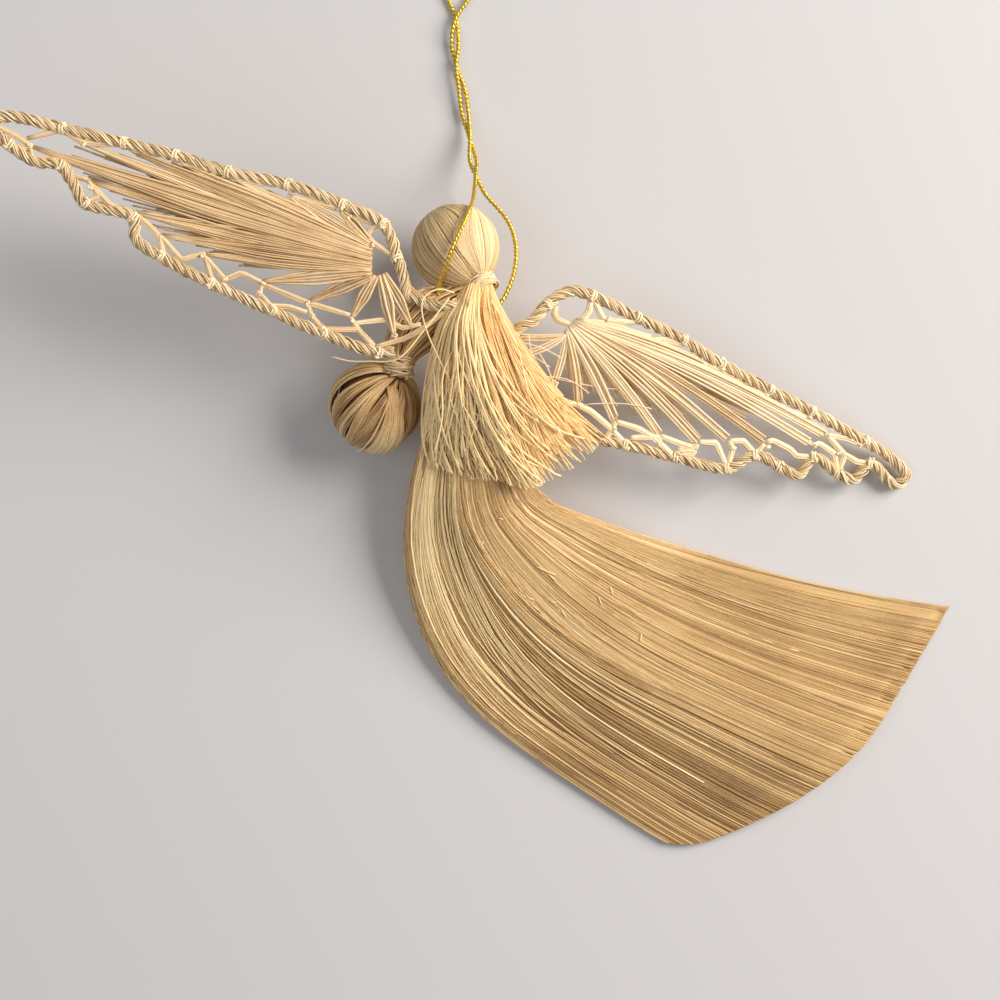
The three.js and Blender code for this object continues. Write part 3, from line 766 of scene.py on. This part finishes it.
# the core is toned darkest: painted shade deep in the puff, where it shows between the fibres
left_core = ball("left_sleeve_core", SLEEVE_CENTRE, SLEEVE_RADIUS * 0.8, -0.3)
BRUSH = 90  # fibres whose ends stick out below
brush_top = np.array((0.42, 0.34, 0.84)) + sleeve_draw.normal(0, (0.05, 0.03, 0.0), (BRUSH, 3))
brush_foot = np.array((0.1, -1.0, 0.15)) + sleeve_draw.normal(0, (0.2, 0.0, 0.05), (BRUSH, 3))
brush_lines = over_ball(SLEEVE_CENTRE, SLEEVE_RADIUS * 0.99, brush_top, brush_foot, np.zeros(BRUSH),
                        SLEEVE_POINTS, sleeve_draw.uniform(0.0, 0.35, BRUSH))
brush_ends = brush_lines[:, -3:] - brush_lines[:, -4:-3]
brush_lines[:, -3:] += brush_ends * sleeve_draw.uniform(0.0, 0.6, (BRUSH, 1, 1))
brush_tones = sleeve_draw.normal(0.42, 0.16, (BRUSH, 1))
brush_tones = brush_tones + 0.5 * eased(np.linspace(0, 1, SLEEVE_POINTS), 0.2, 0.8)
left_brush = fibres("left_sleeve_ends", brush_lines, sleeve_draw.uniform(0.09, 0.15, BRUSH) * MM,
                    np.clip(brush_tones, 0, 1))
for piece in (left_core, left_puff, left_brush):
    dress(piece, sleeve_finish, "sleeve_fibre", "left_sleeve")
right_puff = puffed("right_sleeve_fibres", RIGHT_SLEEVE_CENTRE, RIGHT_SLEEVE_RADIUS, TO_RIGHT_CUFF, 160, 9)
dress(right_puff, sleeve_finish, "sleeve_fibre", "right_sleeve")
SHOULDERS = (  # each a path and how far its fibres spread
    ([[-4.6, 31.4, 10.2], [-8.8, 29.8, 10.6], [-12.8, 27.2, 10.8], [-15.2, 23.4, 10.6],
      [-15, 18.6, 9.8]], 2.1),
    ([[-4.2, 29.2, 9.6], [-8, 26.8, 10.2], [-11.4, 24, 10.6], [-13.8, 21.6, 10.6], [-14.8, 18.4, 9.8]], 2.0),
    ([[-5, 31, 10], [-9.6, 30.6, 11.2], [-12.6, 29.9, 12.4], [-14, 31.6, 13]], 1.2),
)


def bundle_of(path, many, spread, tone, foot):
    """Lines and tones of fibres along a path, gathered at its end to `foot` of their spread."""
    middle = smooth_line(placed(path), SLEEVE_POINTS)
    sides, ups = frames_along(middle)
    run = np.linspace(0, 1, SLEEVE_POINTS)
    lines = []
    for _ in range(many):
        angle, out = sleeve_draw.uniform(0, 2 * math.pi), spread * math.sqrt(sleeve_draw.uniform(0, 1)) * MM
        twist = angle + np.linspace(0, sleeve_draw.normal(0.8, 0.4), SLEEVE_POINTS)
        out = out * np.interp(run, (0, 0.6, 1), (1, 1, foot))[:, None]
        lines.append(middle + (sides * np.cos(twist)[:, None] + ups * np.sin(twist)[:, None]) * out)
    return lines, np.clip(sleeve_draw.normal(*tone, many), 0, 1)


# the bundle that runs from the head through the neck tie into the cape
NECK_PATH = [[-5.2, 34.6, 10.4], [-3.4, 32.2, 11.0], [-3.0, 30.2, 12.0], [-2.8, 27.6, 12.6]]
neck_lines, neck_tones = bundle_of(NECK_PATH, 150, 2.0, (0.5, 0.2), 1.0)
neck_bundle = fibres("neck_fibres", neck_lines, 0.15 * MM, neck_tones)
dress(neck_bundle, cape_finish, "cape_fibre", "cape")
arm_parts = [bundle_of(path, 80, spread, (0.56, 0.26), 0.5) for path, spread in SHOULDERS]
arm_lines, arm_tones = (np.concatenate(part) for part in zip(*arm_parts))
arm_bundle = fibres("left_arm_fibres", arm_lines, 0.17 * MM, arm_tones)
dress(arm_bundle, sleeve_finish, "sleeve_fibre", "left_arm")
CUFF_TIE = np.array([-14.9, 20.0, 10.2])
CUFF_RADIUS = 1.9
cuff_wrap = wrap("left_cuff_wrap", CUFF_TIE, (0.12, 1, 0.05), CUFF_RADIUS, 2.2, 0.16, 62, 9)
dress(cuff_wrap, tie_finish, "tie_fibre", "left_sleeve_tie")

# Wings.
# Each wing is a lace: bands of fibres from a hub by the shoulder, tied with zigzag threads and small
# knots to a border rope that is laid up from three plies. The left wing rises and the right one dips.
SHOULDER_HEIGHT = 13.0
KNOT_RADIUS = 1.3  # of a hitch and the rope in it
HITCH_SIZE = 0.42
HITCH_RING = 0.78  # radius of its turns round the rope
SMALL_KNOT_SIZE = 0.36
KNOT_FIBRE = 0.2
WEBBING_FIBRE = 0.08
ROPE_RADIUS = 0.92
ROPE_LAY = 4.6  # length of one turn of its plies
ROPE_PLIES = 3
PLY_FIBRES = 6


def left_height(x, y):
    return SHOULDER_HEIGHT + 0.18 * np.hypot(x + 12, y - 30)


def right_height(x, y):
    return np.maximum(SHOULDER_HEIGHT - 0.19 * np.hypot(x - 3, y - 26), KNOT_RADIUS)


LEFT_WING = {
    "height": left_height,
    "root": [[-6.4, 28.8], [-8.6, 28.4], [-10.6, 28.8]],  # the rope's start, under the cape
    "border": [
        [-12, 29.6], [-13.6, 30.2], [-14.1, 32.4], [-15.1, 35.4], [-17, 40.3], [-22.9, 43],
        [-30.7, 45.7], [-39.2, 47.3], [-46.5, 49.4], [-53.7, 51], [-62.1, 52.8], [-70.6, 54.2], [-72, 52.8],
        [-69.6, 50.4], [-66.1, 48.1], [-62.6, 47.7], [-60.9, 45.4], [-59.3, 42.4], [-56.4, 41.6],
        [-52.6, 40.6], [-52.2, 37.4], [-49, 35.1], [-41.9, 31.4], [-33.2, 27.5], [-25.9, 24.3],
        [-17.8, 21.6], [-15.6, 21.8],
    ],
    "knots": [3, 4, 5, 6, 7, 8, 9, 10, 13, 15, 17, 19, 21, 22, 23, 24, 25],  # border points with a hitch
    "rope_points": 490,
    "hub": [[-19.3, 38.2], [-18.9, 36.8], [-18.8, 35.4], [-18.8, 34.1], [-18.8, 33.1], [-18.1, 32.8],
            [-17.1, 33.1]],
    # each band: where it ends, where on the hub it starts from 0 to 1, its fibres and their radius
    "bands": [
        (-21.9, 41.0, 0.00, 6, 0.13), (-23.5, 42.4, 0.04, 7, 0.13), (-30.9, 44.4, 0.10, 8, 0.13),
        (-38.1, 46.2, 0.15, 8, 0.13), (-45.5, 48.2, 0.20, 8, 0.13), (-52.8, 50.0, 0.25, 9, 0.13),
        (-59.4, 50.8, 0.29, 9, 0.13), (-66.7, 50.2, 0.34, 11, 0.13), (-61.8, 48.2, 0.39, 11, 0.13),
        (-58.8, 45.6, 0.44, 11, 0.13), (-52.6, 41.3, 0.50, 11, 0.13), (-48.9, 38.1, 0.56, 9, 0.13),
        (-42.9, 35.5, 0.63, 7, 0.15), (-34.5, 31.7, 0.70, 5, 0.2), (-28.1, 28.8, 0.78, 4, 0.21),
        (-21.7, 26.5, 0.84, 4, 0.21), (-15.5, 24.0, 0.93, 4, 0.21), (-12.9, 25.2, 1.00, 4, 0.2),
    ],
    "dense": (0.12, 0.66),  # where on the hub the close-laid part starts and ends
    "backing": (170, 0.14, 0.36, 0.7, 0.99),  # fibres, radius, tone, and how far out they end
    "band_tone": 0.4,
    "thread": 0.17,  # radius of a fibre of the tying threads
    "bow": 0.25,  # how far a long band bends aside
    "band_width": (1.0, 1.9, 0.3),  # beside its own thickness, at the hub, halfway and at the end
    "threads": [
        [[-15.1, 35.4], [-16.4, 36.2], [-18.6, 37.6], [-19.4, 38.6], [-18.6, 39.8], [-17.0, 40.3]],
        [[-17, 40.3], [-19.0, 40.6], [-21.6, 41.4]],
        [[-21.9, 41.0], [-22.9, 43], [-23.6, 42.4], [-27, 43.2], [-30.4, 44.0]],
        [[-23.5, 42.4], [-30.7, 45.5], [-38.1, 46.2], [-39.2, 47.1], [-45.5, 48.2], [-46.5, 49.2]],
        [[-46.5, 49.2], [-52.8, 50.0], [-53.7, 50.8], [-59.4, 50.8], [-62.1, 52.6], [-67, 51.2]],
        [[-66.7, 50.2], [-66.3, 48.5], [-61.8, 48.2], [-61.2, 46.2], [-58.8, 45.6]],
        [[-66.5, 50.2], [-68.6, 51.6], [-71.4, 53.0]],
        [[-66.5, 50.0], [-68.2, 49.7], [-69.8, 50.4]],
        [[-58.8, 45.6], [-57.2, 43.4], [-59.0, 42.6]],
        [[-58.8, 45.6], [-56.0, 42.4], [-53.2, 41.0]],
        [[-52.6, 41.3], [-50.4, 39.4], [-49.0, 37.9], [-48.6, 35.6]],
        [[-48.9, 38.1], [-45.9, 34.6], [-42.7, 35.5], [-41.6, 31.8]],
        [[-48.9, 38.1], [-48.2, 34.4], [-41.9, 31.4]],
        [[-42.9, 35.5], [-39.8, 31.8], [-37.5, 32.9], [-34.5, 31.5]],
        [[-34.5, 31.7], [-34.9, 29.9], [-33.3, 28.1], [-30.8, 28.1], [-28.1, 27.3]],
        [[-34.4, 31.3], [-28.3, 28.8], [-21.9, 27.0]],
        [[-28.1, 28.8], [-27.4, 26.7], [-25.7, 24.9], [-20.6, 24.9], [-18.8, 22.6], [-17.2, 21.4]],
        [[-21.7, 26.5], [-20.6, 24.7], [-18.4, 22.6]],
        [[-21.5, 25.8], [-17.0, 26.4], [-14.2, 25.2], [-11.6, 25.8]],
        [[-18.2, 22.4], [-14.1, 23.6], [-11.8, 24.8], [-9.4, 26.6], [-7.2, 28.2]],
    ],
    "small_knots": [
        (-39.8, 31.9), (-41.6, 31.8), (-34.9, 29.9), (-27.4, 26.8), (-18.6, 37.4), (-21.9, 41.1),
        (-23.5, 42.4), (-48.9, 37.6), (-17.3, 40.2), (-58.4, 44.6),
        (-34.4, 31.5), (-28.0, 28.6), (-21.6, 26.3), (-15.4, 24.0), (-52.5, 41.0), (-42.8, 35.2),
        (-66.6, 50.2), (-59.3, 50.6),
    ],
}
RIGHT_WING = {
    "height": right_height,
    "root": [[-1.6, 22.6], [0.4, 23.6], [1.9, 24.6]],
    "border": [
        [3.2, 25.6], [4.8, 26.4], [6.9, 28.8], [8.6, 30.2], [11.1, 31], [13.6, 30.3], [20.3, 27.2],
        [27.3, 24], [33.1, 20.5], [40.6, 16.7], [47.1, 13.5], [55.5, 9], [59.6, 6.6], [62.2, 3.6],
        [60.4, 2.4], [56.6, 5.6], [53.9, 3.1], [51.4, 4.1], [47.7, 6.5], [45.2, 3.8], [42.4, 5],
        [38.6, 6.8], [34.3, 4.8], [26.5, 6.4], [18.9, 8.2], [13.2, 9.3],
    ],
    "knots": [2, 5, 6, 7, 8, 9, 10, 11, 15, 17, 18, 20, 21, 22, 23, 24],
    "rope_points": 370,
    "hub": [[9.8, 24.3], [9.9, 25.1], [10.2, 25.7], [10.8, 26.3], [12.1, 26.5]],
    "bands": [
        (2.8, 24.0, 0.00, 3, 0.18), (3.4, 21.3, 0.00, 3, 0.18), (8.1, 17.5, 0.10, 3, 0.18),
        (11.7, 14.3, 0.20, 4, 0.19), (17.2, 11.8, 0.30, 4, 0.19), (24.0, 9.6, 0.40, 4, 0.19),
        (29.9, 8.7, 0.47, 5, 0.19), (34.5, 9.0, 0.53, 4, 0.19), (40.2, 8.8, 0.58, 4, 0.19),
        (47.6, 8.4, 0.63, 4, 0.19), (49.7, 9.9, 0.68, 5, 0.19), (43.0, 13.7, 0.74, 5, 0.19),
        (36.7, 17.0, 0.80, 5, 0.19), (30.3, 20.3, 0.87, 5, 0.19), (22.6, 23.9, 0.94, 4, 0.19),
        (19.0, 25.2, 1.00, 3, 0.19),
    ],
    "dense": (0.13, 0.94),
    "backing": (150, 0.15, 0.46, 0.5, 0.84),
    "band_tone": 0.72,
    "thread": 0.2,
    "bow": 1.0,
    "band_width": (0.75, 1.45, 1.4),
    "threads": [
        [[8.3, 28.6], [8.0, 27.4], [8.5, 26.6], [10.2, 26.0]],
        [[13.4, 29.6], [13.2, 28.0], [12.4, 26.9], [11.0, 26.3]],
        [[13.6, 30.2], [15.2, 27.0], [16.2, 26.6], [19.8, 26.4], [20.2, 27.0]],
        [[22.6, 23.9], [25.0, 23.9], [27.1, 23.3], [27.3, 24.0]],
        [[30.3, 20.3], [33.0, 19.5], [33.1, 20.5]],
        [[36.7, 17.0], [39.9, 15.8], [40.6, 16.7]],
        [[43.0, 13.7], [46.7, 12.4], [47.1, 13.5]],
        [[49.7, 9.9], [53.0, 9.3], [55.4, 8.2]],
        [[8.9, 14.6], [11.5, 14.2], [13.5, 13.2], [16.0, 11.1], [18.6, 8.6]],
        [[17.2, 11.8], [16.6, 10.3], [15.8, 9.4]],
        [[17.3, 11.7], [20.8, 10.6], [22.9, 9.3], [25.8, 6.9]],
        [[19.5, 9.3], [22.7, 9.4], [24.0, 9.4], [23.6, 8.4]],
        [[24.0, 9.6], [27.3, 8.3], [29.4, 7.7], [26.6, 7.5]],
        [[29.9, 8.7], [32.5, 8.6], [34.0, 5.4]],
        [[29.4, 8.4], [29.0, 7.0], [27.2, 6.8]],
        [[34.5, 9.0], [35.0, 7.7], [34.5, 5.6]],
        [[34.6, 8.9], [36.7, 8.9], [38.5, 7.0]],
        [[40.2, 8.8], [41.3, 9.0], [43.9, 7.7], [45.0, 6.6], [47.4, 6.6]],
        [[40.0, 8.4], [38.6, 6.9], [42.2, 5.4]],
        [[47.6, 8.4], [48.5, 8.6], [50.9, 7.0], [51.3, 4.6]],
        [[49.7, 9.8], [52.5, 6.8], [51.6, 4.4]],
        [[52.4, 7.0], [54.4, 5.8], [56.2, 5.6]],
    ],
    "small_knots": [
        (17.0, 10.5), (23.8, 8.6), (29.4, 8.0), (35.1, 7.8), (16.0, 26.8), (27.6, 23.2), (33.4, 19.6),
        (40.2, 15.9), (46.9, 12.6), (54.8, 8.3), (51.4, 7.1), (40.4, 8.0), (47.4, 7.0), (22.8, 23.8),
        (30.5, 20.2), (36.9, 16.9), (43.2, 13.6), (49.8, 9.8), (11.8, 14.1), (8.2, 17.2), (47.7, 8.3),
    ],
}
# fine fibres strayed between the cape and the right wing
WEBBING = [
    [[2.2, 25.0], [5.8, 18.8]], [[3.0, 22.2], [7.4, 19.6]], [[2.8, 20.8], [8.2, 17.6]],
    [[4.2, 24.4], [6.0, 16.4]], [[4.4, 19.2], [9.4, 15.4]], [[5.8, 21.6], [8.4, 14.6]],
    [[3.4, 18.8], [7.8, 15.2]], [[3.2, 23.2], [9.0, 21.0]], [[4.8, 17.0], [10.6, 14.6]],
    [[8.4, 17.9], [19.9, 16.2]], [[12.7, 14.2], [22.6, 13.6]], [[6.4, 18.2], [13.2, 15.8]],
]
rope_finish = straw("wing_rope", (0.44, 0.28, 0.12), (0.78, 0.57, 0.31), (0.98, 0.83, 0.56), patch=200.0)
lace_finish = straw("wing_lace", (0.42, 0.24, 0.10), (0.82, 0.59, 0.32), (0.98, 0.82, 0.55), patch=140.0)


def in_wing(wing, points, above=0.0):
    points = np.asarray(points, float)
    return np.column_stack([points, wing["height"](*points.T) + above])


def laid_rope(name, line, seed):
    """A rope of three plies laid round each other, each a few fibres."""
    rng = np.random.default_rng(seed)
    radius = ROPE_RADIUS * MM
    turns = line_length(line) / (ROPE_LAY * MM)
    strands, tones = [], []
    for ply in range(ROPE_PLIES):
        middle = wound(line, radius * 0.48, -turns, ply / ROPE_PLIES)
        for k in range(PLY_FIBRES):
            reach = radius * 0.38 * rng.uniform(0.8, 1.15)
            strands.append(wound(middle, reach, -turns * 0.25, k / PLY_FIBRES + rng.uniform(0, 0.08)))
            tones.append(np.clip(rng.normal(0.55, 0.22), 0.05, 1))
    return fibres(name, np.array(strands), radius * 0.17, tones)


def knots_at(name, places, ways, size, thick, seed, ring=0.0):
    """Small overhand knots; with `ring`, each also goes once round a rope of that radius."""
    rng = np.random.default_rng(seed)
    t = np.linspace(0, 2 * math.pi, 40)
    lump = np.stack([np.sin(t) + 2 * np.sin(2 * t), np.cos(t) - 2 * np.cos(2 * t), -np.sin(3 * t)], 1) / 3
    coils = []
    for place, way in zip(places, ways):
        way = unit(way)
        side, up = square_to(way)
        facing = unit(rng.normal(0, 1, 3))
        first = unit(np.cross(facing, way))
        turned = np.stack([first, np.cross(facing, first), facing])
        coils.append(place + (up * 0.7 + side * rng.choice([-0.6, 0.6])) * ring + lump.dot(turned) * size)
        if ring:
            for slant in (-0.3, 0.25):
                angle = t * 1.1 + rng.uniform(0, 6.28)
                loop = side * np.cos(angle)[:, None] + up * np.sin(angle)[:, None]
                coils.append(place + loop * ring + way * ((slant + 0.45 * np.sin(angle)) * ring)[:, None])
    # knots are toned 0.7 to 1, paler than the rope and lace: a painted highlight on their bulges
    return fibres(name, np.array(coils), thick, rng.uniform(0.7, 1.0, len(coils)))


LACE_POINTS = 16
HUB_STEPS = 60


def lace_bands(wing, seed):
    """The bands from the hub to their ends, each a few fibres side by side."""
    rng = np.random.default_rng(seed)
    hub = smooth_line(in_wing(wing, wing["hub"]), HUB_STEPS + 1)
    t = np.linspace(0, 1, LACE_POINTS)[:, None]
    wide = np.interp(t, (0, 0.5, 1), wing["band_width"])
    lines, tones, radii = [], [], []
    for x, y, start, many, thick in wing["bands"]:
        end = in_wing(wing, [[x, y]])[0]
        first = hub[int(round(start * HUB_STEPS))]
        side = unit(np.cross((0.0, 0.0, 1.0), end - first))
        length = np.linalg.norm(end - first)
        arch = 0.5 * np.sin(math.pi * t) * min(length / 30, 1)
        shade = rng.normal(0, 0.12)
        stack = rng.uniform(-0.25, 0.35)
        for k, across in enumerate(np.linspace(-0.5, 0.5, many)):
            layer = stack * np.sin(math.pi * t) + thick * (k % 2) + rng.normal(0, 0.05) + 0.25 * (1 - t)
            bow = (rng.normal(0, 0.08) + wing["bow"] * length / 40) * np.sin(math.pi * t)
            short = 1 - rng.uniform(0, 0.02) - 0.6 * across**2 / max(length, 1)
            line = first + (end - first) * t * short + side * (across * wide * many * thick + bow)
            lines.append(line + np.array([0, 0, 1.0]) * (layer + arch))
            tones.append(wing["band_tone"] + shade + rng.normal(0, 0.1))
            radii.append(thick)
    return lines, tones, radii


def lace_backing(wing, seed):
    """Finer fibres under the bands, where the wing is close-laid, toned darker as painted shade under the
    bands.
    """
    rng = np.random.default_rng(seed)
    hub = smooth_line(in_wing(wing, wing["hub"]), HUB_STEPS + 1)
    ends = np.array([band[:2] for band in wing["bands"]])
    starts = np.array([band[2] for band in wing["bands"]])
    t = np.linspace(0, 1, LACE_POINTS)[:, None]
    many, thick, tone, *stop_at = wing["backing"]
    lines = []
    for place in rng.uniform(*wing["dense"], many):
        end = np.array([np.interp(place, starts, ends[:, k]) for k in (0, 1)])
        end = in_wing(wing, [end])[0]
        first = hub[int(round(place * HUB_STEPS))]
        side = unit(np.cross((0.0, 0.0, 1.0), end - first))
        stop = first + (end - first) * rng.uniform(*stop_at)
        bow = rng.normal(0, 0.35) * np.sin(math.pi * t)
        lines.append(first + (stop - first) * t + side * bow - np.array([0, 0, 1.0]) * rng.uniform(0.3, 0.7))
    return lines, rng.normal(tone, 0.12, many), np.full(many, thick)


def lace_threads(wing, seed):
    """The threads that tie the bands' ends to each other and to the rope, each a few fibres."""
    rng = np.random.default_rng(seed)
    lines, tones, radii = [], [], []
    for points in wing["threads"]:
        points = in_wing(wing, points, 0.2)
        run = np.concatenate([[0], np.cumsum(np.linalg.norm(np.diff(points, axis=0), axis=1))])
        even = np.linspace(0, run[-1], LACE_POINTS)
        line = np.stack([np.interp(even, run, axis) for axis in points.T], 1)
        sides, ups = frames_along(line)
        for k in (-1, 0, 1):
            reach = k * 1.5 * wing["thread"] * np.sin(math.pi * np.linspace(0.2, 0.8, LACE_POINTS))
            lines.append(line + sides * reach[:, None] + ups * wing["thread"] * 0.6 * (1 - abs(k)))
            tones.append(wing["band_tone"] + 0.1 + rng.normal(0, 0.12))
            radii.append(wing["thread"])
    return lines, tones, radii


def webbing_fibres():
    """Each fine fibre sags a little between its ends."""
    t = np.linspace(0, 1, LACE_POINTS)[:, None]
    rng = np.random.default_rng(91)
    lines = []
    for first, last in WEBBING:
        ends = in_wing(RIGHT_WING, [first, last], 0.6)
        sag = rng.normal(0, 0.5, 3) * np.sin(math.pi * t)
        lines.append(ends[0] + (ends[1] - ends[0]) * t + sag)
    return fibres("right_wing_webbing", placed(np.array(lines)), WEBBING_FIBRE * MM,
                  np.full(len(lines), 0.9))


webbing = webbing_fibres()
dress(webbing, lace_finish, "wing_lace", "right_wing_lace")
for side, wing, seed in (("left", LEFT_WING, 71), ("right", RIGHT_WING, 81)):
    route = smooth_line(in_wing(wing, wing["root"] + wing["border"]), wing["rope_points"])
    rope = laid_rope(f"{side}_wing_rope", placed(route), seed)
    border = in_wing(wing, wing["border"])
    ways = np.gradient(border, axis=0)[wing["knots"]]
    hitches = knots_at(f"{side}_wing_knots", placed(border[wing["knots"]]), ways,
                       HITCH_SIZE * MM, KNOT_FIBRE * MM, seed + 1, ring=HITCH_RING * MM)
    for piece in (rope, hitches):
        dress(piece, rope_finish, "wing_rope", f"{side}_wing_border")
    strands = [lace_bands(wing, seed + 2), lace_threads(wing, seed + 3), lace_backing(wing, seed + 4)]
    lines, tones, radii = (np.concatenate([group[k] for group in strands]) for k in range(3))
    lace = fibres(f"{side}_wing_fibres", placed(lines), radii * MM, np.clip(tones, 0, 1))
    small = in_wing(wing, wing["small_knots"], 0.3)
    ties = knots_at(f"{side}_lace_knots", placed(small), np.tile([1.0, 0.6, 0.3], (len(small), 1)),
                    SMALL_KNOT_SIZE * MM, KNOT_FIBRE * MM, seed + 5)
    for piece in (lace, ties):
        dress(piece, lace_finish, "wing_lace", f"{side}_wing_lace")
